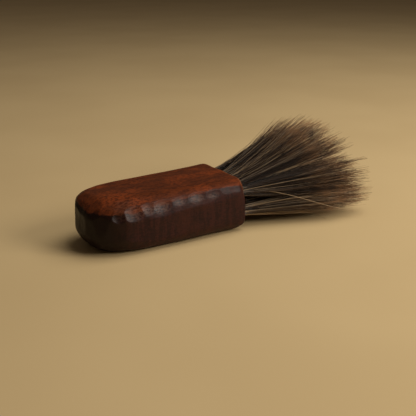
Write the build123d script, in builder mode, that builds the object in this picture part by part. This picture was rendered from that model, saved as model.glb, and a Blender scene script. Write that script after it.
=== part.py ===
"""Bee brush: a hand-carved wooden block with two rows of horsehair tufts set in its flat end.

Millimetres, +Z up.  The origin is the middle of the block's flat underside, and +X runs along the block
from its rounded palm end to the hair, so the tufts leave the block at x = +BLOCK_LENGTH / 2.

Each tuft is a knot of hair tied round its butt with thread and set in pitch in a blind hole.  The hair,
the thread and the pitch of every tuft are separate pieces.
"""

import os
from math import cos, pi, sqrt

from build123d import *

# ------------------------------------------------------------------ the block
BLOCK_LENGTH = 107.0  # palm end to tuft end
BLOCK_WIDTH = 56.0  # at the tuft end
SHOULDER_WIDTH = 51.0  # where the rounded palm end begins
BLOCK_HEIGHT = 35.0
EDGE_RADIUS = 9.5  # rounding of the four long edges
PALM_LENGTH = 32.0  # length of the rounded palm end, seen from above
PALM_FULLNESS = 2.4  # 2 is an ellipse seen from above, and more is squarer
PALM_TOP_RADIUS = 9.7  # rounding from the top into the palm end
PALM_UNDERCUT = 14.8  # sweep from the palm end in under the block
PALM_RIBS = 12
PALM_FLAT = 0.5  # depth pared off the very tip, which leaves a small flat
TUFT_END_RADIUS = 2.5  # eased edges of the tuft end
HEEL_LENGTH = 8.0  # chamfer under the tuft end, along the block
HEEL_HEIGHT = 5.5  # the same chamfer, up the end face

# ------------------------------------------------------------------ the holes
TUFTS_PER_ROW = 5
TUFT_PITCH = 10.5
ROW_HEIGHTS = {"upper": 25.0, "lower": 11.5}
HOLE_RADIUS = 3.75
HOLE_DEPTH = 22.0
MOUTH_RADIUS = 4.25  # countersunk so that the rim doesn't cut the hair

# ------------------------------------------------------------------ a tuft in its hole
KNOT_RADIUS = 3.3  # the hair where it is packed in the hole
KNOT_DEPTH = 20.0  # cut ends of the hair, below the face
NECK_RADIUS = 2.9  # pulled in by the thread
THREAD_RADIUS = 0.25
THREAD_TURNS = 6
THREAD_DEPTH = 14.0  # middle of the whipping, below the face
PITCH_DEPTH = 10.5  # the pitch fills the hole up to here

# ------------------------------------------------------------------ the free hair
HAIR_LENGTH = 94.0
# Where the middle of each tuft's tips lies, across the brush and above its underside.
TIPS = {
    "upper": ((-36.0, 28.0), (-18.5, 41.0), (-1.0, 50.0), (16.5, 49.0), (34.0, 42.0)),
    "lower": ((-41.0, 12.0), (-21.5, 13.0), (-1.0, 16.0), (16.5, 15.0), (34.0, 14.0)),
}
TIP_WIDTH = 17.0
TIP_HEIGHTS = {"upper": 17.0, "lower": 14.5}
BELLY_SHARE = 0.7  # the tuft's middle section is here, as a share of its free length
BELLY_WIDTH = 14.4
BELLY_HEIGHTS = {"upper": 15.0, "lower": 12.5}
LATE_BEND = 1.4  # 1 for a straight tuft, and more for one that bends near its tip

FACE_X = BLOCK_LENGTH / 2
PALM_X = -BLOCK_LENGTH / 2
MIDDLE = (TUFTS_PER_ROW + 1) / 2


def rib(from_palm):
    """Return the block's width, bottom and top at a distance from its palm end."""
    along = min(from_palm / PALM_LENGTH, 1.0)
    fullness = (1 - (1 - along) ** PALM_FULLNESS) ** (1 / PALM_FULLNESS)
    to_top = max(PALM_TOP_RADIUS - from_palm, 0.0)
    to_base = max(PALM_UNDERCUT - from_palm, 0.0)
    top = BLOCK_HEIGHT - PALM_TOP_RADIUS + sqrt(PALM_TOP_RADIUS**2 - to_top**2)
    base = PALM_UNDERCUT - sqrt(PALM_UNDERCUT**2 - to_base**2)
    return SHOULDER_WIDTH * fullness, base, top


def rib_sketch(x, width, base, top):
    """Return one rounded cross-section of the block at x."""
    radius = min(EDGE_RADIUS, 0.42 * width, 0.42 * (top - base))
    with BuildSketch(Plane.YZ.offset(x)) as section:
        with Locations((0, (top + base) / 2)):
            RectangleRounded(width, top - base, radius)
    return section.sketch


def palm_ribs():
    """Return the cross-sections of the rounded palm end, closer together towards its tip."""
    sections = []
    for step in range(PALM_RIBS):
        sweep_in = 1 - cos(pi / 2 * step / (PALM_RIBS - 1))
        from_palm = PALM_FLAT + (PALM_LENGTH - PALM_FLAT) * sweep_in
        sections.append(rib_sketch(PALM_X + from_palm, *rib(from_palm)))
    return sections


def tuft_places():
    """Return (row, number, y) for every tuft, counted from the -Y edge."""
    places = []
    for row in ROW_HEIGHTS:
        for number in range(1, TUFTS_PER_ROW + 1):
            places.append((row, number, (number - MIDDLE) * TUFT_PITCH))
    return places


def hole_plane(row, y):
    """Return the plane of a hole's mouth, facing out of the block."""
    return Plane(origin=(FACE_X, y, ROW_HEIGHTS[row]), x_dir=(0, 1, 0), z_dir=(1, 0, 0))


def make_block():
    """Carve the block: straight body, rounded palm end, heel chamfer and the blind holes."""
    with BuildPart() as handle_block:
        shoulder = rib_sketch(PALM_X + PALM_LENGTH, SHOULDER_WIDTH, 0, BLOCK_HEIGHT)
        tuft_end = rib_sketch(FACE_X, BLOCK_WIDTH, 0, BLOCK_HEIGHT)
        loft(sections=[shoulder, tuft_end])
        loft(sections=palm_ribs(), ruled=True)
        with BuildSketch(Plane.XZ):
            with BuildLine():
                Polyline(
                    (FACE_X - HEEL_LENGTH, 0),
                    (FACE_X, HEEL_HEIGHT),
                    (FACE_X + HEEL_LENGTH, HEEL_HEIGHT),
                    (FACE_X + HEEL_LENGTH, -HEEL_HEIGHT),
                    (FACE_X - HEEL_LENGTH, -HEEL_HEIGHT),
                    close=True,
                )
            make_face()
        extrude(amount=BLOCK_WIDTH, both=True, mode=Mode.SUBTRACT)
        end_face = handle_block.faces().sort_by(Axis.X)[-1]
        fillet(end_face.edges(), radius=TUFT_END_RADIUS)
        for row, _, y in tuft_places():
            with Locations(hole_plane(row, y).location):
                CounterSinkHole(HOLE_RADIUS, MOUTH_RADIUS, depth=HOLE_DEPTH, counter_sink_angle=90)
    handle_block.part.label = "handle_block"
    return handle_block.part


def make_tuft(row, number, y):
    """Build one tuft as a closed bundle: packed knot, tied neck, round root and flaring free hair."""
    mouth = hole_plane(row, y)
    tip_y, tip_z = TIPS[row][number - 1]
    bent = BELLY_SHARE**LATE_BEND
    belly_y = y + (tip_y - y) * bent
    belly_z = ROW_HEIGHTS[row] + (tip_z - ROW_HEIGHTS[row]) * bent
    reach = sqrt(HAIR_LENGTH**2 - (tip_y - y) ** 2 - (tip_z - ROW_HEIGHTS[row]) ** 2)
    half_binding = THREAD_RADIUS * THREAD_TURNS
    with BuildPart() as hair:
        with BuildSketch(mouth.offset(-KNOT_DEPTH)):
            Circle(KNOT_RADIUS)
        with BuildSketch(mouth.offset(-THREAD_DEPTH - half_binding)):
            Circle(NECK_RADIUS)
        with BuildSketch(mouth.offset(-THREAD_DEPTH + half_binding)):
            Circle(NECK_RADIUS)
        with BuildSketch(mouth.offset(-PITCH_DEPTH)):
            Circle(KNOT_RADIUS)
        with BuildSketch(mouth):
            Circle(KNOT_RADIUS)
        with BuildSketch(Plane.YZ.offset(FACE_X + BELLY_SHARE * reach)):
            with Locations((belly_y, belly_z)):
                Ellipse(BELLY_WIDTH / 2, BELLY_HEIGHTS[row] / 2)
        with BuildSketch(Plane.YZ.offset(FACE_X + reach)):
            with Locations((tip_y, tip_z)):
                Ellipse(TIP_WIDTH / 2, TIP_HEIGHTS[row] / 2)
        loft(ruled=True)
    hair.part.label = f"hair_tuft_{row}_{number}"
    return hair.part


def make_whipping(row, number, y):
    """Build the thread wound round a tuft's neck: touching turns, solid as one ring."""
    axis_plane = Plane(origin=(FACE_X, y, ROW_HEIGHTS[row]), x_dir=(1, 0, 0), z_dir=(0, -1, 0))
    with BuildPart() as whipping:
        with BuildSketch(axis_plane):
            first = -THREAD_DEPTH - THREAD_RADIUS * (THREAD_TURNS - 1)
            for turn in range(THREAD_TURNS):
                with Locations((first + 2 * THREAD_RADIUS * turn, NECK_RADIUS + THREAD_RADIUS)):
                    Circle(THREAD_RADIUS)
            with Locations((-THREAD_DEPTH, NECK_RADIUS + THREAD_RADIUS / 2)):
                Rectangle(2 * THREAD_RADIUS * (THREAD_TURNS - 1), THREAD_RADIUS)
        revolve(axis=Axis((FACE_X, y, ROW_HEIGHTS[row]), (1, 0, 0)))
    whipping.part.label = f"thread_whipping_{row}_{number}"
    return whipping.part


def make_pitch(row, number, y, hair, whipping):
    """Build the pitch that fills the bottom of a hole round the knot and its whipping."""
    with BuildPart() as pitch:
        with BuildSketch(hole_plane(row, y).offset(-HOLE_DEPTH)):
            Circle(HOLE_RADIUS)
        extrude(amount=HOLE_DEPTH - PITCH_DEPTH)
        add(hair, mode=Mode.SUBTRACT)
        add(whipping, mode=Mode.SUBTRACT)
    pitch.part.label = f"pitch_plug_{row}_{number}"
    return pitch.part


os.makedirs("parts", exist_ok=True)
block = make_block()
export_step(block, "parts/handle_block.step")
for row, number, y in tuft_places():
    hair = make_tuft(row, number, y)
    whipping = make_whipping(row, number, y)
    pitch = make_pitch(row, number, y, hair, whipping)
    for piece in (hair, whipping, pitch):
        export_step(piece, f"parts/{piece.label}.step")
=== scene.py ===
"""Finish and set of a hand-carved bee brush.

The wooden block is carved as a distance field: a rounded blank that knife cuts and gouge scoops bite into,
meshed at half a millimetre, with the tuft holes bored into its end.  Each hair tuft is a bundle of single
tapered hairs that gather into locks and fan out of its hole.  Lengths are metres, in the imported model's
frame: +X runs from the palm end to the hair, +Y across the block, and +Z up from its flat underside.
"""

import logging
import math
from dataclasses import dataclass, field
from enum import Enum
from typing import Any, Mapping, NamedTuple, Sequence

import bmesh
import bpy
import numpy as np
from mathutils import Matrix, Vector


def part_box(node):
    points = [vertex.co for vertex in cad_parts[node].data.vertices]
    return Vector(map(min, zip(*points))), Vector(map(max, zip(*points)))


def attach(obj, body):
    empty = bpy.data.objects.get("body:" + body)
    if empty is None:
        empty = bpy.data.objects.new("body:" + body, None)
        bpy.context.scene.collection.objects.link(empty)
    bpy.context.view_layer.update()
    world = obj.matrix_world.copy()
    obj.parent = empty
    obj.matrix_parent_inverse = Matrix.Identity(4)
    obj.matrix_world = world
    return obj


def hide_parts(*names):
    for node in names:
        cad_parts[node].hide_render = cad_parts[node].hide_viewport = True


LOG = logging.getLogger("bee_brush")
MM = 0.001
BODY = "root"

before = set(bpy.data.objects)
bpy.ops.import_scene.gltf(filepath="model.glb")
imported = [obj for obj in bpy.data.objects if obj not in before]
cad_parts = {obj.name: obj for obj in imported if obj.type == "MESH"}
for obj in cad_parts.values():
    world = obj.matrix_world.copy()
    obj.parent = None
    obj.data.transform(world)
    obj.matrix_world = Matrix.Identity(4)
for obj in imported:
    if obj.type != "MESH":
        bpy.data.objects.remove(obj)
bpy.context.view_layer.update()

Pair = tuple[float, float]
Triple = tuple[float, float, float]
Colour = tuple[float, float, float, float]


class Row(Enum):
    """The two rows of tufts, named as their nodes are."""

    UPPER = "upper"
    LOWER = "lower"


# --------------------------------------------------------------------------------------- shader graph


class Wire:
    """A node's output that can stand in a Python expression.  Each operation adds one Math node."""

    def __init__(self, graph: "Graph", socket: bpy.types.NodeSocket) -> None:
        """Keep the graph that the socket belongs to.

        Args:
            graph: The material's node graph.
            socket: The output socket to wrap.
        """
        self.graph = graph
        self.socket = socket

    def __add__(self, other: "Wire | float") -> "Wire":
        """Return self + other."""
        return self.graph.math("ADD", self, other)

    def __radd__(self, other: float) -> "Wire":
        """Return other + self."""
        return self.graph.math("ADD", other, self)

    def __sub__(self, other: "Wire | float") -> "Wire":
        """Return self - other."""
        return self.graph.math("SUBTRACT", self, other)

    def __rsub__(self, other: float) -> "Wire":
        """Return other - self."""
        return self.graph.math("SUBTRACT", other, self)

    def __mul__(self, other: "Wire | float") -> "Wire":
        """Return self * other."""
        return self.graph.math("MULTIPLY", self, other)

    def __rmul__(self, other: float) -> "Wire":
        """Return other * self."""
        return self.graph.math("MULTIPLY", other, self)

    def ramp(self, low: float, high: float) -> "Wire":
        """Return a smooth step of self.

        Args:
            low: Where the step starts.
            high: Where it ends.

        Returns:
            The eased value, 0 to 1.
        """
        settings = {"interpolation_type": "SMOOTHSTEP"}
        sockets = {"Value": self, "From Min": low, "From Max": high, "To Min": 0.0, "To Max": 1.0}
        return self.graph.node("ShaderNodeMapRange", settings, sockets)


class Graph:
    """A material under construction."""

    def __init__(self, name: str) -> None:
        """Start an empty material.

        Args:
            name: The material's name.
        """
        self.material = bpy.data.materials.new(name)
        self.material.use_nodes = True
        self.tree = self.material.node_tree
        self.tree.nodes.clear()

    def node(
        self,
        kind: str,
        settings: Mapping[str, Any] | None = None,
        sockets: Mapping[str | int, Any] | None = None,
        output: str | int = 0,
    ) -> Wire:
        """Add a node.

        Args:
            kind: The node's Blender type.
            settings: Its properties, set first.  "stops" holds a ramp's (position, colour) pairs.
            sockets: Values or wires for its inputs, by name or number.
            output: Which output to return.

        Returns:
            The chosen output.
        """
        made = self.tree.nodes.new(kind)
        for name, value in (settings or {}).items():
            if name == "stops":
                self._set_stops(made.color_ramp, value)
            else:
                setattr(made, name, value)
        for name, value in (sockets or {}).items():
            if isinstance(value, Wire):
                self.tree.links.new(value.socket, made.inputs[name])
            else:
                made.inputs[name].default_value = value
        return Wire(self, made.outputs[output])

    @staticmethod
    def _set_stops(ramp: bpy.types.ColorRamp, stops: Sequence[tuple[float, Colour]]) -> None:
        """Give a ramp its stops.

        Args:
            ramp: The ramp, with Blender's two first stops.
            stops: Position and colour of each stop, in order.
        """
        while len(ramp.elements) < len(stops):
            ramp.elements.new(1.0)
        for element, (position, colour) in zip(ramp.elements, stops):
            element.position = position
            element.color = colour

    def math(self, operation: str, first: Wire | float, second: Wire | float) -> Wire:
        """Add one Math node.

        Args:
            operation: Blender's name of the operation.
            first: First term.
            second: Second term.

        Returns:
            The result.
        """
        return self.node("ShaderNodeMath", {"operation": operation}, {0: first, 1: second})

    def mix(self, share: Wire | float, low: Wire | Colour, high: Wire | Colour) -> Wire:
        """Blend two colours.

        Args:
            share: How much of the second colour shows.
            low: The first colour.
            high: The second colour.

        Returns:
            The blended colour.
        """
        return self.node("ShaderNodeMix", {"data_type": "RGBA"}, {0: share, 6: low, 7: high}, output=2)

    def place(self, stretch: Triple = (1.0, 1.0, 1.0)) -> Wire:
        """Stretch space for a directional pattern.

        Args:
            stretch: How much finer the pattern is along X, Y and Z.

        Returns:
            The point on the piece, in metres, stretched.
        """
        here = self.node("ShaderNodeTexCoord", output="Object")
        settings = {"operation": "MULTIPLY"}
        return self.node("ShaderNodeVectorMath", settings, {0: here, 1: stretch})

    def noise(
        self,
        grain: float,
        stretch: Triple = (1.0, 1.0, 1.0),
        detail: float = 3.0,
        roughness: float = 0.5,
        twist: float = 0.0,
    ) -> Wire:
        """Add a noise pattern.

        Args:
            grain: Size of its features, in metres.
            stretch: How much finer it is along X, Y and Z.
            detail: Number of octaves.
            roughness: Strength of the finer octaves.
            twist: How much it is distorted.

        Returns:
            The noise's value, about 0.5.
        """
        sockets = {
            "Vector": self.place(stretch),
            "Scale": 1.0 / grain,
            "Detail": detail,
            "Roughness": roughness,
            "Distortion": twist,
        }
        return self.node("ShaderNodeTexNoise", None, sockets)

    def attribute(self, name: str) -> Wire:
        """Return a value that the mesh carries at its vertices."""
        return self.node("ShaderNodeAttribute", {"attribute_name": name}, output="Fac")

    def bump(self, height: Wire, depth: float, strength: float = 1.0, below: Wire | None = None) -> Wire:
        """Turn a height into a surface normal.

        Args:
            height: The height, 0 to 1.
            depth: Distance that a height of 1 stands for, in metres.
            strength: Share of the effect that shows.
            below: A normal to add to.

        Returns:
            The normal.
        """
        sockets: dict[str | int, Any] = {"Height": height, "Distance": depth, "Strength": strength}
        if below is not None:
            sockets["Normal"] = below
        return self.node("ShaderNodeBump", None, sockets)

    def finish(self, sockets: Mapping[str | int, Any]) -> bpy.types.Material:
        """Close the graph with a Principled shader.

        Args:
            sockets: The shader's inputs.

        Returns:
            The material.
        """
        shader = self.node("ShaderNodeBsdfPrincipled", None, sockets)
        end = self.tree.nodes.new("ShaderNodeOutputMaterial")
        self.tree.links.new(shader.socket, end.inputs["Surface"])
        return self.material


# ------------------------------------------------------------------------------------------- finishes


@dataclass(frozen=True)
class Lacquer:
    """Thin red-brown lacquer over carved hardwood. Where the surface faces up it is painted lighter and
    warmer, as painted light; down the flanks it is painted darker, as painted shade.
    """

    # crown, crown_dark and crown_warm: the lit copy of the lacquer, painted on surfaces that face up, as
    # painted light.
    crown: Colour = (0.126, 0.0285, 0.0078, 1.0)
    crown_dark: Colour = (0.060, 0.0150, 0.0060, 1.0)
    crown_warm: Colour = (0.200, 0.040, 0.0095, 1.0)
    # side and side_dark: the shaded copy of the lacquer, painted on the flanks, as painted shade.
    side: Colour = (0.046, 0.0118, 0.0088, 1.0)
    side_dark: Colour = (0.022, 0.0062, 0.0050, 1.0)
    # worn: pale painted sheen for the cut facets, where the lights glint off them.
    facet_sheen: Colour = (0.16, 0.085, 0.055, 1.0)
    rim: Colour = (0.24, 0.066, 0.017, 1.0)
    # handled: painted shade for the palm end, which faces away from the lights.
    nose_shade_colour: Colour = (0.008, 0.003, 0.0017, 1.0)
    pore: Colour = (0.020, 0.008, 0.005, 1.0)

    def build(self) -> bpy.types.Material:
        """Mix the lacquer.

        Returns:
            The material.
        """
        g = Graph("lacquered_wood")
        cloud = g.noise(13 * MM, (0.7, 1.2, 1.0), detail=3.0)
        brushed = g.noise(3.2 * MM, (0.30, 1.3, 1.0), detail=5.0, roughness=0.62, twist=0.4)
        speckle = g.noise(1.1 * MM, (0.5, 1.0, 1.0), detail=3.0, roughness=0.6)
        pores = g.noise(0.55 * MM, (0.09, 1.0, 1.0), detail=2.0).ramp(0.60, 0.72)
        runs = g.noise(2.8 * MM, (1.0, 1.0, 0.16), detail=4.0, roughness=0.6)

        # crown: how far the surface faces up; it chooses the lighter top colours, as painted light.
        crown = g.attribute("crown")
        # facet: where the tools have cut; it carries a pale painted sheen.
        facet = g.attribute("facet")
        # grip: painted shade over the palm end, darkest at its tip.
        nose_shade = g.attribute("nose_shade")
        top = g.mix((brushed * 0.5 + speckle * 0.5).ramp(0.38, 0.62), self.crown_dark, self.crown)
        top = g.mix(cloud.ramp(0.44, 0.66) * speckle.ramp(0.35, 0.6), top, self.crown_warm)
        # The flanks are painted darker than the top, as painted shade, with streaks and mottle.
        shaded_flank = g.mix((runs * 0.6 + speckle * 0.4).ramp(0.40, 0.60), self.side_dark, self.side)
        shaded_flank = g.mix(cloud.ramp(0.5, 0.7) * 0.35, shaded_flank, self.crown_dark)
        # The palm end is painted nearly black, as painted shade.
        shaded_flank = g.mix(nose_shade * 0.9, shaded_flank, self.nose_shade_colour)
        # Share of the lighter top colour, set by how far the surface faces up, with a ragged edge: painted
        # light.
        lit_top_share = (crown + (brushed - 0.5) * 0.9 + (cloud - 0.5) * 0.7).ramp(0.30, 0.70)
        colour = g.mix(lit_top_share, shaded_flank, top)
        colour = g.mix(pores * 0.5, colour, self.pore)
        # Pale painted sheen on the cut facets, away from the palm end.
        rubbed = facet * (1.0 - nose_shade) * speckle.ramp(0.40, 0.62) * 0.38
        colour = g.mix(rubbed, colour, self.facet_sheen)
        # A lighter orange band along the tuft end's upper edge.
        colour = g.mix(g.attribute("rim") * speckle.ramp(0.25, 0.55) * 0.85, colour, self.rim)

        rough = 0.34 + brushed * 0.16 + runs * 0.10 - facet * 0.10
        normal = g.bump(brushed, 0.16 * MM, 0.8)
        normal = g.bump(runs, 0.10 * MM, 0.7, below=normal)
        normal = g.bump(speckle * (1.0 - nose_shade * 0.8), 0.07 * MM, 0.7, below=normal)
        normal = g.bump(pores, -0.05 * MM, 0.6, below=normal)
        sockets = {"Base Color": colour, "Roughness": rough, "Normal": normal, "Specular IOR Level": 0.21}
        return g.finish(sockets)


@dataclass(frozen=True)
class Horsehair:
    """Black-brown hair with grey and tan hairs mixed in, bleached towards the tips; the grey and tan hairs
    are partly the hair's own colour and partly painted highlight along the strands.
    """

    black: Colour = (0.012, 0.0075, 0.005, 1.0)
    brown: Colour = (0.060, 0.033, 0.018, 1.0)
    # grey and tan: paler hairs, partly their own colour and partly painted highlight.
    grey: Colour = (0.30, 0.225, 0.150, 1.0)
    tan: Colour = (0.50, 0.340, 0.185, 1.0)
    tip: Colour = (0.34, 0.170, 0.070, 1.0)

    def build(self) -> bpy.types.Material:
        """Mix the colours of the hair.

        Returns:
            The material.
        """
        g = Graph("horsehair")
        tone = g.attribute("tone")
        along = g.attribute("along")
        dark = [(0.18, self.black), (0.45, self.brown), (0.62, self.brown)]
        stops = [*dark, (0.80, self.grey), (0.97, self.tan)]
        own = g.node("ShaderNodeValToRGB", {"stops": stops}, {"Fac": tone}, output="Color")
        mottle = g.noise(6 * MM, (0.5, 1.0, 1.0), detail=2.0)
        bleached = along.ramp(0.55, 1.0) * (0.25 + tone * 0.75) * mottle.ramp(0.3, 0.6)
        colour = g.mix(bleached, own, self.tip)
        scales = g.noise(0.35 * MM, (0.35, 1.0, 1.0), detail=1.0)
        rough = 0.34 + along * 0.12
        normal = g.bump(scales, 0.02 * MM, 0.5)
        sockets = {"Base Color": colour, "Roughness": rough, "Normal": normal, "Specular IOR Level": 0.4}
        return g.finish(sockets)


@dataclass(frozen=True)
class WaxedThread:
    """Waxed linen thread, with the twist of its plies."""

    linen: Colour = (0.32, 0.25, 0.16, 1.0)
    waxed: Colour = (0.17, 0.115, 0.06, 1.0)

    def build(self) -> bpy.types.Material:
        """Mix the look of the thread.

        Returns:
            The material.
        """
        g = Graph("waxed_thread")
        plies = g.noise(0.22 * MM, (1.0, 1.6, 1.6), detail=2.0, twist=1.2)
        stain = g.noise(1.8 * MM, detail=3.0)
        colour = g.mix(stain.ramp(0.35, 0.65) * plies.ramp(0.3, 0.7), self.waxed, self.linen)
        normal = g.bump(plies, 0.05 * MM)
        return g.finish({"Base Color": colour, "Roughness": 0.55 + plies * 0.2, "Normal": normal})


@dataclass(frozen=True)
class Pitch:
    """Hardened brewer's pitch: black, brittle and glossy, with brown where it is thin."""

    black: Colour = (0.010, 0.007, 0.005, 1.0)
    brown: Colour = (0.055, 0.024, 0.010, 1.0)

    def build(self) -> bpy.types.Material:
        """Mix the look of the pitch.

        Returns:
            The material.
        """
        g = Graph("pitch")
        flow = g.noise(2.4 * MM, detail=4.0, twist=0.8)
        chips = g.noise(0.6 * MM, detail=2.0)
        colour = g.mix(flow.ramp(0.5, 0.72), self.black, self.brown)
        normal = g.bump(flow + chips * 0.3, 0.12 * MM)
        return g.finish({"Base Color": colour, "Roughness": 0.16 + chips * 0.2, "Normal": normal})


@dataclass(frozen=True)
class PaleTop:
    """The plain pale surface that the brush lies on."""

    light: Colour = (0.66, 0.48, 0.245, 1.0)
    shade: Colour = (0.63, 0.455, 0.23, 1.0)

    def build(self) -> bpy.types.Material:
        """Mix the look of the surface.

        Returns:
            The material.
        """
        g = Graph("pale_top")
        cloud = g.noise(160 * MM, detail=2.0)
        colour = g.mix(cloud.ramp(0.35, 0.65), self.shade, self.light)
        return g.finish({"Base Color": colour, "Roughness": 0.62, "Specular IOR Level": 0.3})


# ---------------------------------------------------------------------------------------- mesh helpers


def mesh_object(name: str, points: np.ndarray, faces: np.ndarray) -> bpy.types.Object:
    """Make a smooth-shaded object from arrays.

    Args:
        name: The object's name.
        points: Vertex positions, one row each.
        faces: Vertex numbers, one row per face, all with as many corners.

    Returns:
        The new object, in the scene.
    """
    mesh = bpy.data.meshes.new(name)
    mesh.vertices.add(len(points))
    mesh.vertices.foreach_set("co", np.ascontiguousarray(points, dtype=np.float32).ravel())
    corners = faces.shape[1]
    mesh.loops.add(faces.size)
    mesh.loops.foreach_set("vertex_index", np.ascontiguousarray(faces, dtype=np.int32).ravel())
    mesh.polygons.add(len(faces))
    mesh.polygons.foreach_set("loop_start", np.arange(0, faces.size, corners, dtype=np.int32))
    mesh.update(calc_edges=True)
    mesh.validate()
    mesh.shade_smooth()
    made = bpy.data.objects.new(name, mesh)
    bpy.context.scene.collection.objects.link(made)
    return made


def set_values(piece: bpy.types.Object, name: str, values: np.ndarray) -> None:
    """Store one number per vertex on a mesh.

    Args:
        piece: The object.
        name: The attribute's name.
        values: One value per vertex.
    """
    layer = piece.data.attributes.new(name, "FLOAT", "POINT")
    layer.data.foreach_set("value", np.ascontiguousarray(values, dtype=np.float32))


def soft_max(first: np.ndarray, second: np.ndarray | float, blend: float) -> np.ndarray:
    """Return the larger of two distances with the crease between them eased over a length."""
    share = np.clip(0.5 + 0.5 * (first - second) / blend, 0.0, 1.0)
    return second + (first - second) * share + blend * share * (1.0 - share)


def round_max(first: np.ndarray, second: np.ndarray, radius: float | np.ndarray) -> np.ndarray:
    """Return the larger of two distances with a true radius where they meet.

    Args:
        first: One distance.
        second: The other.
        radius: The rounding's radius.

    Returns:
        The rounded distance.
    """
    over_first = np.maximum(first + radius, 0.0)
    over_second = np.maximum(second + radius, 0.0)
    inner = np.minimum(np.maximum(first, second), -radius)
    return inner + np.sqrt(over_first**2 + over_second**2)


def ease(value: np.ndarray, low: float, high: float) -> np.ndarray:
    """Return a smooth step from 0 at low to 1 at high."""
    share = np.clip((value - low) / (high - low), 0.0, 1.0)
    return share * share * (3.0 - 2.0 * share)


class Ripple:
    """Smooth random unevenness, the sum of a few waves in random directions."""

    def __init__(self, seed: int, length: Sequence[float], waves: int = 14) -> None:
        """Choose the waves.

        Args:
            seed: Seed of the random choice.
            length: Typical wavelength along X, Y and Z.
            waves: How many waves are added.
        """
        rng = np.random.default_rng(seed)
        self.turns = rng.normal(size=(waves, 3)) * 2.0 / np.asarray(length)
        self.phases = rng.uniform(0.0, 2.0 * math.pi, waves)

    def at(self, x: np.ndarray, y: np.ndarray, z: np.ndarray) -> np.ndarray:
        """Add the waves up.

        Args:
            x, y, z: Places of the points.

        Returns:
            The unevenness there, about -1 to 1.
        """
        total = np.zeros(np.broadcast(x, y, z).shape)
        for (a, b, c), phase in zip(self.turns, self.phases):
            total += np.sin(a * x + b * y + c * z + phase)
        return total / math.sqrt(len(self.phases))


class Net:
    """Quads on the zero surface of a distance field that is sampled on a regular grid."""

    CORNERS = np.array([(i, j, k) for i in (0, 1) for j in (0, 1) for k in (0, 1)])

    def __init__(self, values: np.ndarray, origin: np.ndarray, step: float) -> None:
        """Mesh the field.

        Args:
            values: Distance at each grid point, negative inside.
            origin: Position of the first grid point.
            step: Spacing of the grid.
        """
        inside = values < 0.0
        wide, deep, tall = (size - 1 for size in values.shape)
        counts = sum(inside[i : wide + i, j : deep + j, k : tall + k].astype(int) for i, j, k in self.CORNERS)
        cells = np.argwhere((counts > 0) & (counts < 8))
        number = -np.ones(counts.shape, dtype=np.int64)
        number[tuple(cells.T)] = np.arange(len(cells))
        self.points = origin + step * (cells + self._middles(values, cells))
        self.quads = self._quads(inside, number)

    def relaxed(self, points: np.ndarray) -> np.ndarray:
        """Even out the quads.

        Args:
            points: A place for each of the net's points.

        Returns:
            The points, each moved halfway to the mean of its neighbours.
        """
        edges = np.concatenate([self.quads[:, [k, (k + 1) % 4]] for k in range(4)])
        start, end = edges.T
        count = np.bincount(start, minlength=len(points))
        sums = [np.bincount(start, weights=points[end, k], minlength=len(points)) for k in range(3)]
        return 0.5 * points + 0.5 * np.stack(sums, axis=1) / count[:, None]

    def _middles(self, values: np.ndarray, cells: np.ndarray) -> np.ndarray:
        """Return the mean crossing point of each cell, as a share of the cell.

        Args:
            values: Distance at each grid point.
            cells: Index of each cell that the surface crosses.

        Returns:
            One point per cell.
        """
        at = np.stack([values[tuple((cells + corner).T)] for corner in self.CORNERS], axis=1)
        total = np.zeros((len(cells), 3))
        hits = np.zeros(len(cells))
        for a, start in enumerate(self.CORNERS):
            for b, end in enumerate(self.CORNERS):
                if b <= a or np.abs(end - start).sum() != 1:
                    continue
                crossed = (at[:, a] < 0) != (at[:, b] < 0)
                gap = np.where(crossed, at[:, a] - at[:, b], 1.0)
                share = at[:, a] / gap
                total += crossed[:, None] * (start + share[:, None] * (end - start))
                hits += crossed
        return total / hits[:, None]

    @staticmethod
    def _quads(inside: np.ndarray, number: np.ndarray) -> np.ndarray:
        """Return one quad round every grid edge that the surface crosses.

        Args:
            inside: Which grid points are inside.
            number: The vertex number of each cell.

        Returns:
            Vertex numbers, four to a row, facing outwards.
        """
        quads = []
        for axis in range(3):
            turned_in = np.moveaxis(inside, axis, 0)
            turned_no = np.moveaxis(number, axis, 0)
            before = turned_in[:-1, 1:-1, 1:-1]
            after = turned_in[1:, 1:-1, 1:-1]
            corners = ((None, -1, None, -1), (1, None, None, -1), (1, None, 1, None), (None, -1, 1, None))
            around = np.stack([turned_no[:, a:b, c:d] for a, b, c, d in corners], axis=-1)
            leaving = around[before & ~after]
            entering = around[~before & after]
            if axis == 1:
                leaving, entering = entering, leaving
            quads += [leaving, entering[:, ::-1]]
        return np.concatenate(quads)


# ------------------------------------------------------------------------------------------- the block


@dataclass
class Cut:
    """One knife or gouge cut: a ball of the tool's sweep that bites into the wood from outside."""

    place: np.ndarray  # a point on the uncut surface
    outward: np.ndarray  # the surface's direction there
    depth: float
    sweep: float  # radius of the tool's path, large for a flat knife cut
    crease: float  # how far the arris that it leaves is rubbed down
    fade: float = 0.0  # how much more its lower arris is rubbed down

    def remaining(self, x: np.ndarray, y: np.ndarray, z: np.ndarray) -> np.ndarray:
        """Measure to the wood that the cut leaves.

        Args:
            x, y, z: Places of the points.

        Returns:
            The distance, negative inside the wood.
        """
        centre = self.place + self.outward * (self.sweep - self.depth)
        away = np.sqrt((x - centre[0]) ** 2 + (y - centre[1]) ** 2 + (z - centre[2]) ** 2)
        return self.sweep - away


class Scoop(NamedTuple):
    """A gouge scoop on a long top edge, in millimetres."""

    from_palm: float  # distance from the palm end
    height: float
    depth: float
    sweep: float


class Tier(NamedTuple):
    """A row of knife cuts round the palm end, in millimetres and degrees."""

    height: float
    elevation: float
    spacing: float  # turn from one cut to the next
    depth: float
    sweep: float
    crease: float


class Wave(NamedTuple):
    """Unevenness of the carved surface."""

    depth: float
    length: Triple  # typical wavelength along X, Y and Z


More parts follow.
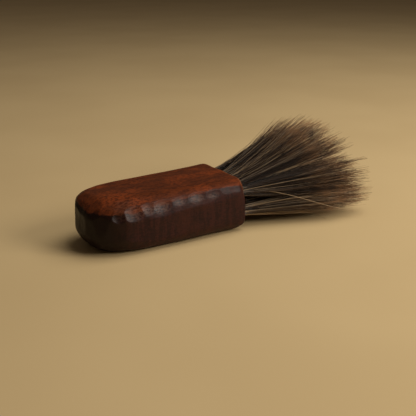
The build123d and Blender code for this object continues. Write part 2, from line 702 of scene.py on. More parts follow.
@dataclass
class PalmBlock:
    """The carved wooden block, with its ten blind holes."""

    low: Vector
    high: Vector
    shoulder_width: float = 51.0 * MM
    palm_length: float = 32.0 * MM
    palm_fullness: float = 2.4
    end_rounding: float = 9.0 * MM  # of the long top edges, at the tuft end
    near_rounding: float = 14.5 * MM  # of the -Y one of them at the palm end
    far_rounding: float = 9.5 * MM  # of the +Y one of them at the palm end
    base_rounding: float = 8.6 * MM
    palm_undercut: float = 14.8 * MM
    dome: float = 0.6 * MM  # how far the top falls from its middle to its long edges
    waste: float = 0.9 * MM  # what the knife takes off the palm end's outline
    tuft_end_rounding: float = 2.6 * MM
    corner_rounding: float = 6.5 * MM  # the same edge where it turns down the sides
    corner_across: Pair = (17.0 * MM, 27.0 * MM)  # from the middle, where it sets in and is full
    corner_height: Pair = (17.0 * MM, 29.0 * MM)
    blend_length: Pair = (15.0 * MM, 80.0 * MM)  # from the tuft end, where the palm end sets in and is full
    heel_length: float = 8.0 * MM
    heel_height: float = 5.5 * MM
    heel_crease: float = 1.0 * MM
    base_crease: float = 0.4 * MM
    scoop_crease: float = 0.14  # millimetres, as in the lists below
    fade: float = 10.0  # how much more a scoop's lower arris is rubbed down than its upper one
    fade_drop: Pair = (0.5 * MM, 4.5 * MM)  # below the scoop's middle, where that sets in and is full
    sheen_height: Pair = (19.0 * MM, 25.0 * MM)  # where the pale painted sheen on the cuts sets in, and is full
    nose_shade_length: float = 24.0 * MM  # from the shoulder to where the painted shade on the palm end is full
    rim_width: Pair = (0.9 * MM, 3.4 * MM)  # from the tuft end, where its lighter orange edge fades and is gone
    grid: float = 0.5 * MM
    relaxings: int = 5
    hole_radius: float = 3.8 * MM
    mouth_radius: float = 4.3 * MM
    hole_depth: float = 22.0 * MM
    seed: int = 7
    cuts: list[Cut] = field(default_factory=list)
    holes: list[Pair] = field(default_factory=list)

    near_scoops: tuple[Scoop, ...] = (
        Scoop(15.5, 24.0, 1.15, 12.0),
        Scoop(26.5, 23.8, 1.10, 30.0),
        Scoop(35.5, 25.6, 0.70, 24.0),
        Scoop(45.0, 27.2, 1.00, 36.0),
        Scoop(57.0, 28.4, 0.65, 44.0),
        Scoop(69.0, 29.6, 0.95, 34.0),
        Scoop(81.0, 29.8, 0.85, 38.0),
        Scoop(91.5, 30.2, 0.55, 40.0),
        Scoop(100.0, 29.4, 0.25, 40.0),
    )
    palm_tiers: tuple[Tier, ...] = (
        Tier(18.0, 1.0, 15.0, 0.38, 260.0, 0.25),
        Tier(28.0, 27.0, 18.0, 0.36, 80.0, 0.25),
        Tier(32.0, 54.0, 22.0, 0.32, 100.0, 0.6),
        Tier(7.0, -34.0, 20.0, 0.50, 200.0, 0.5),
        Tier(2.5, -58.0, 24.0, 0.35, 200.0, 0.8),
    )
    waves: tuple[Wave, ...] = (
        Wave(0.16 * MM, (26 * MM, 12 * MM, 14 * MM)),
        Wave(0.035 * MM, (9 * MM, 3.2 * MM, 4.5 * MM)),
        Wave(0.10 * MM, (9 * MM, 14 * MM, 60 * MM)),
    )

    def __post_init__(self) -> None:
        """Seed the choice of the cuts."""
        self.rng = np.random.default_rng(self.seed)

    def half_width(self, x: np.ndarray | float) -> np.ndarray | float:
        """Work out half the block's width.

        Args:
            x: Distance along the block.

        Returns:
            Half the width there.
        """
        start = self.low.x + self.palm_length
        share = (x - start) / (self.high.x - start)
        wide = (self.high.y - self.low.y) / 2
        return self.shoulder_width / 2 + (wide - self.shoulder_width / 2) * share

    def toward_palm(self, x: np.ndarray) -> np.ndarray:
        """Return 0 near the tuft end, rising to 1 at the palm end."""
        return ease(self.high.x - x, *self.blend_length)

    def plan_cuts(self) -> None:
        """Choose the knife and gouge cuts, the way a carver works along each edge in turn."""
        for scoop in self.near_scoops:
            spot = self._leaving(self._inside(scoop.from_palm * MM, scoop.height * MM), (0.0, -1.0, 0.0))
            tilt = self.rng.uniform(24, 36)
            self._cut(spot, tilt, scoop.depth, scoop.sweep, self.scoop_crease, self.fade)
        self._scoop_far_edge()
        for side in (-1.0, 1.0):
            self._pare_base(side)
        for tier in self.palm_tiers:
            self._pare_palm(tier)

    def _inside(self, from_palm: float, height: float) -> Triple:
        """Return a point on the block's middle plane."""
        return (self.low.x + from_palm, 0.0, height)

    def _scoop_far_edge(self) -> None:
        """Scoop the +Y top edge, more lightly than the other."""
        x = self.palm_length * 0.5
        while x < self.high.x - self.low.x - 5 * MM:
            spot = self._leaving(self._inside(x, self.rng.uniform(27.5, 30.0) * MM), (0.0, 1.0, 0.0))
            tilt = self.rng.uniform(24, 34)
            depth = self.rng.uniform(0.3, 0.6)
            self._cut(spot, tilt, depth, self.rng.uniform(20, 34), 0.2, self.fade)
            x += self.rng.uniform(8.5, 12.5) * MM

    def _pare_base(self, side: float) -> None:
        """Pare one of the long bottom edges with a knife.

        Args:
            side: -1 for the -Y edge or 1 for the other.
        """
        x = self.palm_length
        while x < self.high.x - self.low.x - 12 * MM:
            spot = self._leaving(self._inside(x, 3.2 * MM), (0.0, side, 0.0))
            tilt = self.rng.uniform(-50, -42)
            depth = self.rng.uniform(0.15, 0.3)
            self._cut(spot, tilt, depth, self.rng.uniform(90, 140), 0.5)
            x += self.rng.uniform(10.0, 15.0) * MM

    def _pare_palm(self, tier: Tier) -> None:
        """Pare one tier of cuts round the palm end.

        Args:
            tier: The row of cuts.
        """
        half = (self.high.y - self.low.y) / 2
        turn = -86.0 + self.rng.uniform(0, 0.6) * tier.spacing
        while turn < 88.0:
            around = math.radians(turn)
            out = (-math.cos(around), math.sin(around) * half / self.palm_length, 0.0)
            middle = self._inside(self.palm_length, tier.height * MM + self.rng.uniform(-0.8, 0.8) * MM)
            spot = self._leaving(middle, out)
            depth = tier.depth * self.rng.uniform(0.7, 1.3)
            tilt = tier.elevation + self.rng.uniform(-5, 5)
            self._cut(spot, tilt, depth, tier.sweep * self.rng.uniform(0.7, 1.4), tier.crease)
            turn += tier.spacing * self.rng.uniform(0.8, 1.2)

    def _leaving(self, start: Triple, towards: Triple) -> np.ndarray:
        """Return the point where a straight line from inside leaves the uncut blank.

        Args:
            start: A point inside the blank.
            towards: The line's direction.

        Returns:
            The point.
        """
        reach = 45 * MM
        steps = 450
        ahead = np.array(towards) / np.linalg.norm(towards)
        line = np.array(start) + np.linspace(0.0, reach, steps + 1)[:, None] * ahead
        gap = self.blank_distance(*line.T)
        out = int(np.argmax(gap > 0.0))
        share = gap[out - 1] / (gap[out - 1] - gap[out])
        return line[out - 1] + share * (line[out] - line[out - 1])

    def _cut(
        self,
        place: np.ndarray,
        elevation: float,
        depth: float,
        sweep: float,
        crease: float,
        fade: float = 0.0,
    ) -> None:
        """Add a cut that faces the way the blank's side faces there, tilted up to an elevation.

        Args:
            place: A point on the uncut surface.
            elevation: The cut's elevation, in degrees.
            depth: How deep the cut goes, in millimetres.
            sweep: Radius of the tool's path, in millimetres.
            crease: How far its arris is rubbed down, in millimetres.
            fade: How much more its lower arris is rubbed down than its upper one.
        """
        reach = 0.5 * MM
        wander = 0.035 if fade == 0.0 else 0.06
        x, y, _ = place
        slope_x = float(self.plan_distance(x + reach, y) - self.plan_distance(x - reach, y))
        slope_y = float(self.plan_distance(x, y + reach) - self.plan_distance(x, y - reach))
        level = math.hypot(slope_x, slope_y)
        tilt = math.radians(elevation)
        flat = math.cos(tilt) / level
        outward = np.array([slope_x * flat, slope_y * flat, math.sin(tilt)])
        outward += self.rng.normal(scale=wander, size=3)
        outward /= np.linalg.norm(outward)
        self.cuts.append(Cut(place, outward, depth * MM, sweep * MM, crease * MM, fade))

    def outline(self) -> np.ndarray:
        """Draw the +Y half of the blank's outline from above.

        Returns:
            Its corners, from the palm end to past the tuft end.
        """
        half = (self.shoulder_width + self.waste) / 2
        power = 2.0 / self.palm_fullness
        turns = np.linspace(0.0, math.pi / 2, 49)
        x = self.low.x + self.palm_length - (self.palm_length + self.waste) * np.abs(np.cos(turns)) ** power
        y = half * np.sin(turns) ** power
        past = self.high.x + 30 * MM
        return np.concatenate([np.stack([x, y], axis=1), [(past, self.half_width(past))]])

    def plan_distance(self, x: np.ndarray | float, y: np.ndarray | float) -> np.ndarray:
        """Measure to the outline from above.

        Args:
            x, y: Places of the points.

        Returns:
            The distance, negative inside the outline.
        """
        corners = self.outline()
        across = np.abs(y)
        nearest = np.full(np.broadcast(x, y).shape, np.inf)
        for (ax, ay), (bx, by) in zip(corners, corners[1:]):
            run_x, run_y = bx - ax, by - ay
            share = np.clip(((x - ax) * run_x + (across - ay) * run_y) / (run_x**2 + run_y**2), 0.0, 1.0)
            gap = (x - ax - share * run_x) ** 2 + (across - ay - share * run_y) ** 2
            nearest = np.minimum(nearest, gap)
        edge = np.interp(x, corners[:, 0], corners[:, 1], left=-1.0)
        return np.where(across > edge, 1.0, -1.0) * np.sqrt(nearest)

    def blank_distance(self, x: np.ndarray, y: np.ndarray, z: np.ndarray) -> np.ndarray:
        """Measure to the rounded blank before any carving.

        Args:
            x, y, z: Places of the points.

        Returns:
            The distance, negative inside the wood.
        """
        plan = self.plan_distance(x, y)
        half = (self.high.y - self.low.y) / 2
        palm = self.toward_palm(x)
        crown = self.high.z - self.dome * (y / half) ** 2
        side = ease(y, -8 * MM, 8 * MM)
        palm_rounding = self.near_rounding + (self.far_rounding - self.near_rounding) * side
        above = round_max(plan, z - crown, self.end_rounding + (palm_rounding - self.end_rounding) * palm)
        undercut = ease(self.low.x + self.palm_length - x, 0.0, self.palm_length)
        radius = self.base_rounding + (self.palm_undercut - self.base_rounding) * undercut
        below = round_max(plan, self.low.z - z, radius)
        return np.where(z > (self.low.z + self.high.z) / 2, above, below)

    def distance(self, x: np.ndarray, y: np.ndarray, z: np.ndarray) -> np.ndarray:
        """Measure to the carved block.

        Args:
            x, y, z: Places of the points.

        Returns:
            The distance, negative inside the wood.
        """
        wood = self.blank_distance(x, y, z)
        for cut in self.cuts:
            rubbed = cut.crease * (1.0 + cut.fade * ease(cut.place[2] - z, *self.fade_drop))
            wood = soft_max(wood, cut.remaining(x, y, z), rubbed)
        for number, wave in enumerate(self.waves, start=1):
            wood = wood + wave.depth * Ripple(self.seed + number, wave.length).at(x, y, z)
        corner = ease(np.abs(y), *self.corner_across) * ease(z, *self.corner_height)
        rounding = self.tuft_end_rounding + (self.corner_rounding - self.tuft_end_rounding) * corner
        wood = round_max(wood, x - self.high.x, rounding)
        slant = math.hypot(self.heel_length, self.heel_height)
        heel = ((x - self.high.x + self.heel_length) * self.heel_height - z * self.heel_length) / slant
        wood = soft_max(wood, heel, self.heel_crease)
        return soft_max(wood, self.low.z - z, self.base_crease)

    def carve(self) -> tuple[np.ndarray, np.ndarray]:
        """Mesh the carved block.

        Returns:
            Its points and its quads.
        """
        edge = 2.0 * self.grid
        axes = [
            np.arange(low - edge, high + edge, self.grid)
            for low, high in zip(self.low - Vector((1 * MM, 0, 0)), self.high)
        ]
        x, y, z = np.meshgrid(*axes, indexing="ij", sparse=True)
        net = Net(self.distance(x, y, z), np.array([a[0] for a in axes]), self.grid)
        points = self._settle(net.points)
        for _ in range(self.relaxings):
            points = self._settle(net.relaxed(points))
        return points, net.quads

    def _settle(self, points: np.ndarray) -> np.ndarray:
        """Move points onto the exact surface.

        Args:
            points: Points near it.

        Returns:
            The moved points.
        """
        reach = 0.05 * MM
        here = self.distance(*points.T)
        slope = np.stack(
            [
                (self.distance(*(points + step).T) - self.distance(*(points - step).T)) / (2 * reach)
                for step in np.eye(3) * reach
            ],
            axis=1,
        )
        steep = np.maximum((slope**2).sum(axis=1), 0.25)
        move = slope * (here / steep)[:, None]
        return points - np.clip(move, -0.4 * self.grid, 0.4 * self.grid)

    def build(self, finish: bpy.types.Material) -> bpy.types.Object:
        """Carve, bore and finish the block.

        Args:
            finish: The lacquer.

        Returns:
            The block.
        """
        self.plan_cuts()
        points, quads = self.carve()
        piece = mesh_object("carved_block", points, quads)
        self._bore(piece)
        self._mark(piece)
        piece.data.materials.clear()
        piece.data.materials.append(finish)
        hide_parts("handle_block")
        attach(piece, BODY)
        faces = len(piece.data.polygons)
        LOG.info("carved_block: %d faces, %d cuts, %d holes", faces, len(self.cuts), len(self.holes))
        return piece

    def _bore(self, piece: bpy.types.Object) -> None:
        """Bore the blind holes with their countersunk mouths.

        Args:
            piece: The block.
        """
        drill = bmesh.new()
        sides = 40
        sink = self.mouth_radius - self.hole_radius
        profile = [
            (-self.hole_depth, self.hole_radius),
            (-sink, self.hole_radius),
            (0.0, self.mouth_radius),
            (2 * MM, self.mouth_radius + 2 * MM),
        ]
        turns = [2 * math.pi * k / sides for k in range(sides)]
        for y, z in self.holes:
            rings = []
            for out, radius in profile:
                x = self.high.x + out
                spots = [(x, y + radius * math.cos(turn), z + radius * math.sin(turn)) for turn in turns]
                rings.append([drill.verts.new(spot) for spot in spots])
            for near, far in zip(rings, rings[1:]):
                for k in range(sides):
                    drill.faces.new((near[k], near[(k + 1) % sides], far[(k + 1) % sides], far[k]))
            drill.faces.new(rings[0][::-1])
            drill.faces.new(rings[-1])
        bmesh.ops.recalc_face_normals(drill, faces=drill.faces)
        mesh = bpy.data.meshes.new("drill")
        drill.to_mesh(mesh)
        drill.free()
        cutter = bpy.data.objects.new("drill", mesh)
        bpy.context.scene.collection.objects.link(cutter)
        boring = piece.modifiers.new("boring", "BOOLEAN")
        boring.operation = "DIFFERENCE"
        boring.solver = "EXACT"
        boring.object = cutter
        done = bpy.data.meshes.new_from_object(piece.evaluated_get(bpy.context.evaluated_depsgraph_get()))
        piece.modifiers.clear()
        piece.data = done
        bpy.data.objects.remove(cutter)

    def _mark(self, piece: bpy.types.Object) -> None:
        """Store where the surface faces up, which the lacquer paints lighter as painted light, and where the
        tools have cut, for the lacquer.

        Args:
            piece: The block.
        """
        count = len(piece.data.vertices)
        flat = np.empty(count * 3)
        piece.data.vertices.foreach_get("co", flat)
        x, y, z = flat.reshape(-1, 3).T
        reach = 0.4 * MM
        lift = (self.blank_distance(x, y, z + reach) - self.blank_distance(x, y, z - reach)) / (2 * reach)
        cut_away = ease(-self.blank_distance(x, y, z), 0.25 * MM, 0.7 * MM)
        # facet: where the tools have cut, fading in with height; the lacquer paints a pale sheen there.
        set_values(piece, "facet", cut_away * ease(z, *self.sheen_height))
        # crown: where the blank faces up, more so towards the palm end; the lacquer paints it lighter, as
        # painted light.
        set_values(piece, "crown", ease(lift + 0.20 * self.toward_palm(x), 0.50, 0.90))
        # grip: painted shade, rising from the shoulder to the palm end's tip.
        set_values(piece, "nose_shade", ease(self.low.x + self.palm_length - x, 0.0, self.nose_shade_length))
        sharp, broad = self.rim_width
        at_end = ease(x, self.high.x - broad, self.high.x - sharp)
        set_values(piece, "rim", at_end * ease(lift, 0.1, 0.8))


# -------------------------------------------------------------------------------------------- the hair


@dataclass
class HairTuft:
    """One tuft: single hairs packed in their hole, gathered into strands and locks, and fanned out."""

    row: Row
    number: int
    root: Vector  # middle of the hole's mouth
    tip: Vector  # where the middle hair would end
    spread: Pair  # half the width and half the height of the tuft at its tips
    hairs: int = 700
    rings: int = 10
    hair_radius: float = 0.13 * MM
    coarse: float = 0.13  # share of the hairs that are much thicker
    coarse_by: float = 1.6  # how many times as thick they are
    stray_by: float = 1.8
    thinning: float = 0.62  # share of its thickness that a hair loses by its tip
    late_thinning: float = 2.4
    knot_radius: float = 3.05 * MM
    neck_radius: float = 2.6 * MM
    knot_depth: float = 19.5 * MM
    neck_depth: float = 14.0 * MM
    locks: int = 11
    strands: int = 150
    short_hairs: float = 0.30  # how much of the length the shortest hairs lack
    strand_shorter: float = 0.045  # deviation of a strand's length
    lock_wander: float = 0.08  # deviations of each one's aim, as shares of the spread
    strand_wander: float = 0.13
    hair_wander: float = 0.12
    lock_pull: float = 0.28  # share of a strand's aim that its lock sets
    gather: Pair = (0.72, 0.16)  # share of a hair's aim that its strand sets, and its deviation
    flyaways: float = 0.025  # share of the hairs that stand off
    flyaway_wander: float = 0.24
    flare: Pair = (1.12, 0.06)  # how late a strand opens out, and its deviation
    hair_curl: float = 0.5 * MM
    strand_curl: float = 0.8 * MM
    splay: float = 0.95 * MM  # deviation of the tips
    splay_start: float = 0.55  # share of the length where they begin to part
    lift: float = 1.4  # how late the tuft bends towards its tip, 1 for straight
    ceiling: float = 63.5 * MM
    tone: float = 0.42  # 0 for black hair to 1 for tan
    hair_tone: float = 0.18  # deviations of the tone
    strand_tone: float = 0.24
    seed: int = 100
    strays: tuple[tuple[Triple, ...], ...] = ()  # millimetres from the root

    def __post_init__(self) -> None:
        """Seed the tuft's own random choices."""
        own = 10 * self.number + (5 if self.row is Row.UPPER else 0)
        self.rng = np.random.default_rng(self.seed + own)

    @property
    def name(self) -> str:
        """Return the CAD node that this tuft stands for."""
        return f"hair_tuft_{self.row.value}_{self.number}"

    def _disc(self, count: int) -> np.ndarray:
        """Return evenly random points in a unit disc.

        Args:
            count: How many.

        Returns:
            One point per row.
        """
        radius = np.sqrt(self.rng.uniform(0.0, 1.0, count))
        turn = self.rng.uniform(0.0, 2.0 * math.pi, count)
        return np.stack([radius * np.cos(turn), radius * np.sin(turn)], axis=1)

    @staticmethod
    def _nearest(points: np.ndarray, middles: np.ndarray) -> np.ndarray:
        """Return the number of the middle that each point is nearest to."""
        return np.argmin(((points[:, None] - middles[None]) ** 2).sum(axis=2), axis=1)

    def paths(self) -> tuple[np.ndarray, np.ndarray, np.ndarray]:
        """Lay out the hairs.

        Returns:
            Points of each hair from root to tip, the share of the free length at each ring, and each
            hair's strand.
        """
        packed = self._disc(self.hairs)
        strand_middles = self._disc(self.strands)
        lock_middles = self._disc(self.locks) * 0.9
        strand = self._nearest(packed, strand_middles)

        run = self.tip - self.root
        length = run.length * (1.0 - self.short_hairs * self.rng.uniform(0.0, 1.0, self.hairs) ** 1.5)
        length *= 1.0 + self.rng.normal(scale=self.strand_shorter, size=self.strands)[strand]
        share = np.linspace(0.0, 1.0, self.rings + 1)

        aim = self._aims(packed, strand, strand_middles, lock_middles)
        flare = (self.flare[0] + self.rng.normal(scale=self.flare[1], size=self.strands))[strand][:, None]
        out = share[None, :] ** flare
        curl = self.rng.normal(scale=1.0, size=(self.hairs, 2)) * self.hair_curl
        curl += (self.rng.normal(scale=1.0, size=(self.strands, 2)) * self.strand_curl)[strand]
        wave = np.sin(math.pi * share)[None, :, None] * curl[:, None, :]
        splay = self.rng.normal(scale=1.0, size=(self.hairs, 2)) * self.splay
        tail = (ease(share, self.splay_start, 1.0) ** 1.5)[None, :, None] * splay[:, None, :]

        bend = np.array([run.y, run.z])
        start = packed * self.knot_radius
        across = start[:, None, :] * (1.0 - out[..., None])
        across = across + aim[:, None, :] * out[..., None] + bend * (share**self.lift)[None, :, None]
        across = across + wave + tail
        sideways = np.linalg.norm(aim + bend, axis=1)
        reach = np.sqrt(np.maximum(length**2 - sideways**2, (0.5 * length) ** 2))
        along = reach[:, None] * share[None, :]

        free = np.empty((self.hairs, self.rings + 1, 3))
        free[..., 0] = self.root.x + along
        free[..., 1] = self.root.y + across[..., 0]
        free[..., 2] = self.root.z + across[..., 1]
        free[..., 2] = self._between(free[..., 2])
        for number, points in enumerate(self.strays):
            free[number] = self._stray(points, share)
        return np.concatenate([self._rooted(packed), free], axis=1), share, strand

    def _aims(
        self, packed: np.ndarray, strand: np.ndarray, strand_middles: np.ndarray, lock_middles: np.ndarray
    ) -> np.ndarray:
        """Choose where each hair's tip lies from the tuft's middle.

        Args:
            packed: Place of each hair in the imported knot, in a unit disc.
            strand: Each hair's strand.
            strand_middles: Place of each strand's middle in the same disc.
            lock_middles: Place of each lock's middle in the same disc.

        Returns:
            Distance across and up of each hair's tip.
        """
        lock = self._nearest(strand_middles, lock_middles)
        spread = np.array(self.spread)
        locks = lock_middles * spread
        locks += self.rng.normal(scale=self.lock_wander, size=locks.shape) * spread
        strands = strand_middles * spread
        strands += self.rng.normal(scale=self.strand_wander, size=strands.shape) * spread
        strands = strands * (1.0 - self.lock_pull) + locks[lock] * self.lock_pull
        own = packed * spread
        own += self.rng.normal(scale=self.hair_wander, size=own.shape) * spread
        gather = np.clip(self.rng.normal(*self.gather, self.hairs), 0.1, 0.97)[:, None]
        aim = strands[strand] * gather + own * (1.0 - gather)
        flyaway = self.rng.uniform(size=self.hairs) < self.flyaways
        aim[flyaway] += self.rng.normal(scale=self.flyaway_wander, size=(int(flyaway.sum()), 2)) * spread
        return aim

    def _stray(self, points: Sequence[Triple], share: np.ndarray) -> np.ndarray:
        """Return a stray hair's smooth line.

        Args:
            points: Places that it passes, in millimetres from the tuft's root.
            share: The share of its length at each ring.

        Returns:
            One point per ring.
        """
        places = np.array(((0.0, 0.0, 0.0), *points)) * MM
        run = np.concatenate([[0.0], np.cumsum(np.linalg.norm(np.diff(places, axis=0), axis=1))])
        curves = [np.polyfit(run / run[-1], places[:, k], 3) for k in range(3)]
        return np.array(self.root) + np.stack([np.polyval(curve, share) for curve in curves], axis=1)

    def _between(self, height: np.ndarray) -> np.ndarray:
        """Keep the hair above the surface that the brush lies on, and under the fan's full height.

        Args:
            height: Height of each point of each hair.

        Returns:
            The heights, eased to stay between the two.
        """
        clear = self.rng.uniform(0.4, 2.6, len(height))[:, None] * MM
        above_table = soft_max(height, clear, 2.5 * MM)
        top = self.ceiling - self.rng.uniform(0.0, 6.0, len(height))[:, None] * MM
        return -soft_max(-above_table, -top, 5.0 * MM)

    def _rooted(self, packed: np.ndarray) -> np.ndarray:
        """Return the hidden run of each hair, from the knot's cut end through the thread's neck.

        Args:
            packed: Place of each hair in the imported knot, in a unit disc.

        Returns:
            Three points per hair, deepest first.
        """
        depths = (self.knot_depth, self.neck_depth, self.neck_depth - 4 * MM)
        radii = (self.knot_radius, self.neck_radius, self.knot_radius)
        runs = []
        for depth, radius in zip(depths, radii):
            deep = np.full(len(packed), self.root.x - depth)
            across = packed * radius
            runs.append(np.stack([deep, self.root.y + across[:, 0], self.root.z + across[:, 1]], axis=1))
        return np.stack(runs, axis=1)

    def build(self, finish: bpy.types.Material) -> bpy.types.Object:
        """Make the tuft.

        Args:
            finish: The hair's material.

        Returns:
            The tuft.
        """
        middle, share, strand = self.paths()
        hidden = middle.shape[1] - len(share)
        along = np.concatenate([np.zeros(hidden), share])
        taper = 1.0 - self.thinning * along**self.late_thinning
        thickness = self.hair_radius * self.rng.uniform(0.75, 1.25, self.hairs)
        thickness[self.rng.uniform(size=self.hairs) < self.coarse] *= self.coarse_by
        thickness[: len(self.strays)] = self.hair_radius * self.stray_by
        radius = thickness[:, None] * taper[None, :]

        ahead = np.gradient(middle, axis=1)
        ahead /= np.linalg.norm(ahead, axis=2, keepdims=True)
        turn = self.rng.uniform(0.0, 2.0 * math.pi, self.hairs)
        lean = np.stack([np.zeros(self.hairs), np.cos(turn), np.sin(turn)], axis=1)[:, None, :]
        side = lean - (lean * ahead).sum(axis=2, keepdims=True) * ahead
        side /= np.linalg.norm(side, axis=2, keepdims=True)
        up = np.cross(ahead, side)
        corners = []
        for k in range(3):
            angle = 2.0 * math.pi * k / 3.0
            corners.append(middle + radius[..., None] * (math.cos(angle) * side + math.sin(angle) * up))
        points = np.stack(corners, axis=2)
        piece = self._skin(points)

        tone = self.rng.normal(self.tone, self.hair_tone, self.hairs)
        tone += self.rng.normal(0.0, self.strand_tone, self.strands)[strand]
        tone[: len(self.strays)] = 1.0
        rings = middle.shape[1]
        set_values(piece, "tone", np.repeat(np.clip(tone, 0.0, 1.0), rings * 3))
        bleaching = np.tile(along, (self.hairs, 1))
        bleaching[: len(self.strays)] = 0.0
        set_values(piece, "along", np.repeat(bleaching.ravel(), 3))
        piece.data.materials.append(finish)
        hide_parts(self.name)
        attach(piece, BODY)
        LOG.info("%s: %d hairs, %d faces", piece.name, self.hairs, len(piece.data.polygons))
        return piece

    def _skin(self, points: np.ndarray) -> bpy.types.Object:
        """Skin the hairs as closed three-sided tubes.

        Args:
            points: Position of each corner, by hair, ring and corner.

        Returns:
            The object.
        """
        hairs, rings, _, _ = points.shape
        first = (np.arange(hairs) * rings * 3)[:, None, None]
        ring = (np.arange(rings - 1) * 3)[None, :, None]
        k = np.arange(3)[None, None, :]
        after = (k + 1) % 3
        a, b = first + ring + k, first + ring + after
        c, d = b + 3, a + 3
        walls = np.stack(np.broadcast_arrays(a, b, c, d), axis=-1).reshape(-1, 4)
        halves = np.concatenate([walls[:, [0, 1, 2]], walls[:, [0, 2, 3]]])
        start = first[:, 0, 0]
        end = start + (rings - 1) * 3
        butts = np.stack([start + 2, start + 1, start], axis=1)
        tips = np.stack([end, end + 1, end + 2], axis=1)
        return mesh_object(f"{self.name}_hair", points.reshape(-1, 3), np.concatenate([halves, butts, tips]))


class RowPlan(NamedTuple):
    """How one row of tufts fans out, from the -Y side."""

    tips: tuple[Pair, ...]  # middle of each tuft's tips, across and up, in millimetres
    spread: Pair
    far_spread: Pair  # of the last tuft
    # tones: hair tone of each tuft; in the upper row the first tufts are darker, as painted shade under the
    # fan.
    tones_and_shade: tuple[float, ...]
    stray: tuple[Triple, ...]  # millimetres from the first tuft's root


@dataclass
class HairFan:
    """All ten tufts: two rows that spread sideways, the upper one lifted off the lower."""

    face_x: float
    free_length: float = 94 * MM
    # A long pale hair has sprung out of the first upper tuft, and a short one out of the first lower tuft.
    upper: RowPlan = RowPlan(
        tips=((-36, 27), (-18.5, 40), (-1, 50), (16, 49), (30.5, 41)),
        spread=(10.5 * MM, 12.0 * MM),
        far_spread=(7.0 * MM, 9.0 * MM),
        # The first upper tufts have darker hair, as painted shade under the fan.
        tones_and_shade=(0.28, 0.38, 0.46, 0.48, 0.44),
        stray=((30.0, -13.0, -4.0), (50.0, -25.0, -11.0), (72.0, -33.0, -17.5)),
    )
    lower: RowPlan = RowPlan(
        tips=((-40.5, 13), (-21, 13.5), (-1, 18), (16.5, 20), (32.5, 19)),
        spread=(10.0 * MM, 7.5 * MM),
        far_spread=(10.0 * MM, 7.5 * MM),
        tones_and_shade=(0.64, 0.62, 0.60, 0.58, 0.58),
        stray=((38.0, -3.0, -6.0), (52.0, -9.0, -9.0), (57.0, -23.0, -10.5)),
    )

    def build(self, finish: bpy.types.Material) -> list[bpy.types.Object]:
        """Make every tuft.

        Args:
            finish: The hair's material.

        Returns:
            The tufts.
        """
        made = []
        for row, plan in zip(Row, (self.upper, self.lower)):
            for index, (across, height) in enumerate(plan.tips):
                low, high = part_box(f"thread_whipping_{row.value}_{index + 1}")
                middle = (low + high) / 2
                root = Vector((self.face_x, middle.y, middle.z))
                sideways = math.hypot(across * MM - root.y, height * MM - root.z)
                reach = math.sqrt(self.free_length**2 - sideways**2)
                tip = Vector((self.face_x + reach, across * MM, height * MM))
                far = index == len(plan.tips) - 1
                tuft = HairTuft(row, index + 1, root, tip, plan.far_spread if far else plan.spread)
                tuft.tone = plan.tones_and_shade[index]
                tuft.strays = (plan.stray,) if index == 0 else ()
                made.append(tuft.build(finish))
        return made


@dataclass
class KnotFittings:
    """The thread whippings and pitch plugs inside the holes."""

    def dress(self, thread: bpy.types.Material, pitch: bpy.types.Material) -> None:
        """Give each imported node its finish.

        Args:
            thread: Material of the whippings.
            pitch: Material of the plugs.
        """
        for name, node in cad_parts.items():
            if name.startswith("thread_whipping"):
                finish = thread
            elif name.startswith("pitch_plug"):
                finish = pitch
            else:
                continue
            for slot in node.material_slots:
                slot.material = finish
            LOG.info("%s: %s", name, finish.name)


# --------------------------------------------------------------------------------------------- the set


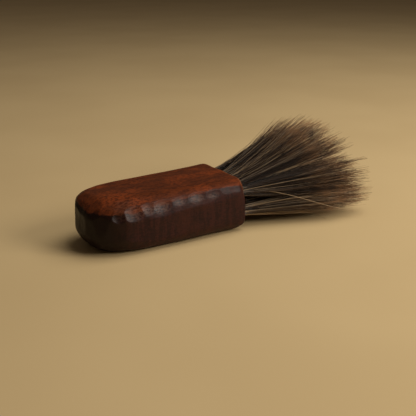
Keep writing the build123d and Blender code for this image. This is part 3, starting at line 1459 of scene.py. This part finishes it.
@dataclass
class Studio:
    """Camera, surface and soft lights."""

    lens: float = 64.9
    camera_place: Triple = (-0.22557, -0.40388, 0.18215)
    looking: Triple = (0.5193, 0.7859, -0.3356)

    def set_camera(self) -> None:
        """Place the camera."""
        lens = bpy.data.cameras.new("camera")
        lens.lens = self.lens
        lens.sensor_width = 36.0
        lens.clip_start = 0.01
        camera = bpy.data.objects.new("camera", lens)
        camera.location = self.camera_place
        camera.rotation_euler = Vector(self.looking).to_track_quat("-Z", "Y").to_euler()
        bpy.context.scene.collection.objects.link(camera)
        bpy.context.scene.camera = camera

    def lay_surface(self, finish: bpy.types.Material) -> None:
        """Lay the pale surface that the brush rests on.

        Args:
            finish: Its material.
        """
        side = 12.0
        corners = np.array([(-side, -side, 0.0), (side, -side, 0.0), (side, side, 0.0), (-side, side, 0.0)])
        floor = mesh_object("pale_top", corners, np.array([[0, 1, 2, 3]]))
        floor.data.materials.append(finish)

    def hang_light(
        self,
        name: str,
        place: Triple,
        size: Pair,
        power: float,
        colour: Triple,
        glossy: bool = True,
    ) -> None:
        """Hang one soft box aimed at the brush.

        Args:
            name: The light's name.
            place: Where it hangs.
            size: Its width and height.
            power: Its power, in watts.
            colour: Its colour.
            glossy: Whether it shows in polished surfaces.
        """
        lamp = bpy.data.lights.new(name, "AREA")
        lamp.shape = "RECTANGLE"
        lamp.size, lamp.size_y = size
        lamp.energy = power
        lamp.color = colour
        light = bpy.data.objects.new(name, lamp)
        light.location = place
        light.visible_glossy = glossy
        light.rotation_euler = (-Vector(place)).to_track_quat("-Z", "Y").to_euler()
        bpy.context.scene.collection.objects.link(light)

    def light(self) -> None:
        """Light the set from a soft box high at the right and a dim window beside it, in a dim room."""
        world = bpy.data.worlds.new("room")
        world.use_nodes = True
        room = world.node_tree.nodes["Background"]
        room.inputs["Color"].default_value = (1.0, 0.80, 0.60, 1.0)
        room.inputs["Strength"].default_value = 0.065
        bpy.context.scene.world = world
        bpy.context.scene.view_settings.view_transform = "Standard"
        self.hang_light("overhead", (0.45, -0.12, 1.00), (0.78, 0.78), 6.9, (1.0, 0.97, 0.92), glossy=False)
        self.hang_light("window", (0.52, -0.68, 0.51), (0.45, 0.35), 4.4, (1.0, 0.95, 0.87))


def main() -> None:
    """Build the brush and its set, and report each piece."""
    logging.basicConfig(level=logging.INFO, format="%(name)s: %(message)s")
    studio = Studio()
    studio.set_camera()
    studio.lay_surface(PaleTop().build())
    studio.light()

    low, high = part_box("handle_block")
    block = PalmBlock(low, high)
    for row in Row:
        for number in range(1, 6):
            near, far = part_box(f"thread_whipping_{row.value}_{number}")
            middle = (near + far) / 2
            block.holes.append((middle.y, middle.z))
    block.build(Lacquer().build())
    HairFan(high.x).build(Horsehair().build())
    KnotFittings().dress(WaxedThread().build(), Pitch().build())


if __name__ == "__main__":
    main()
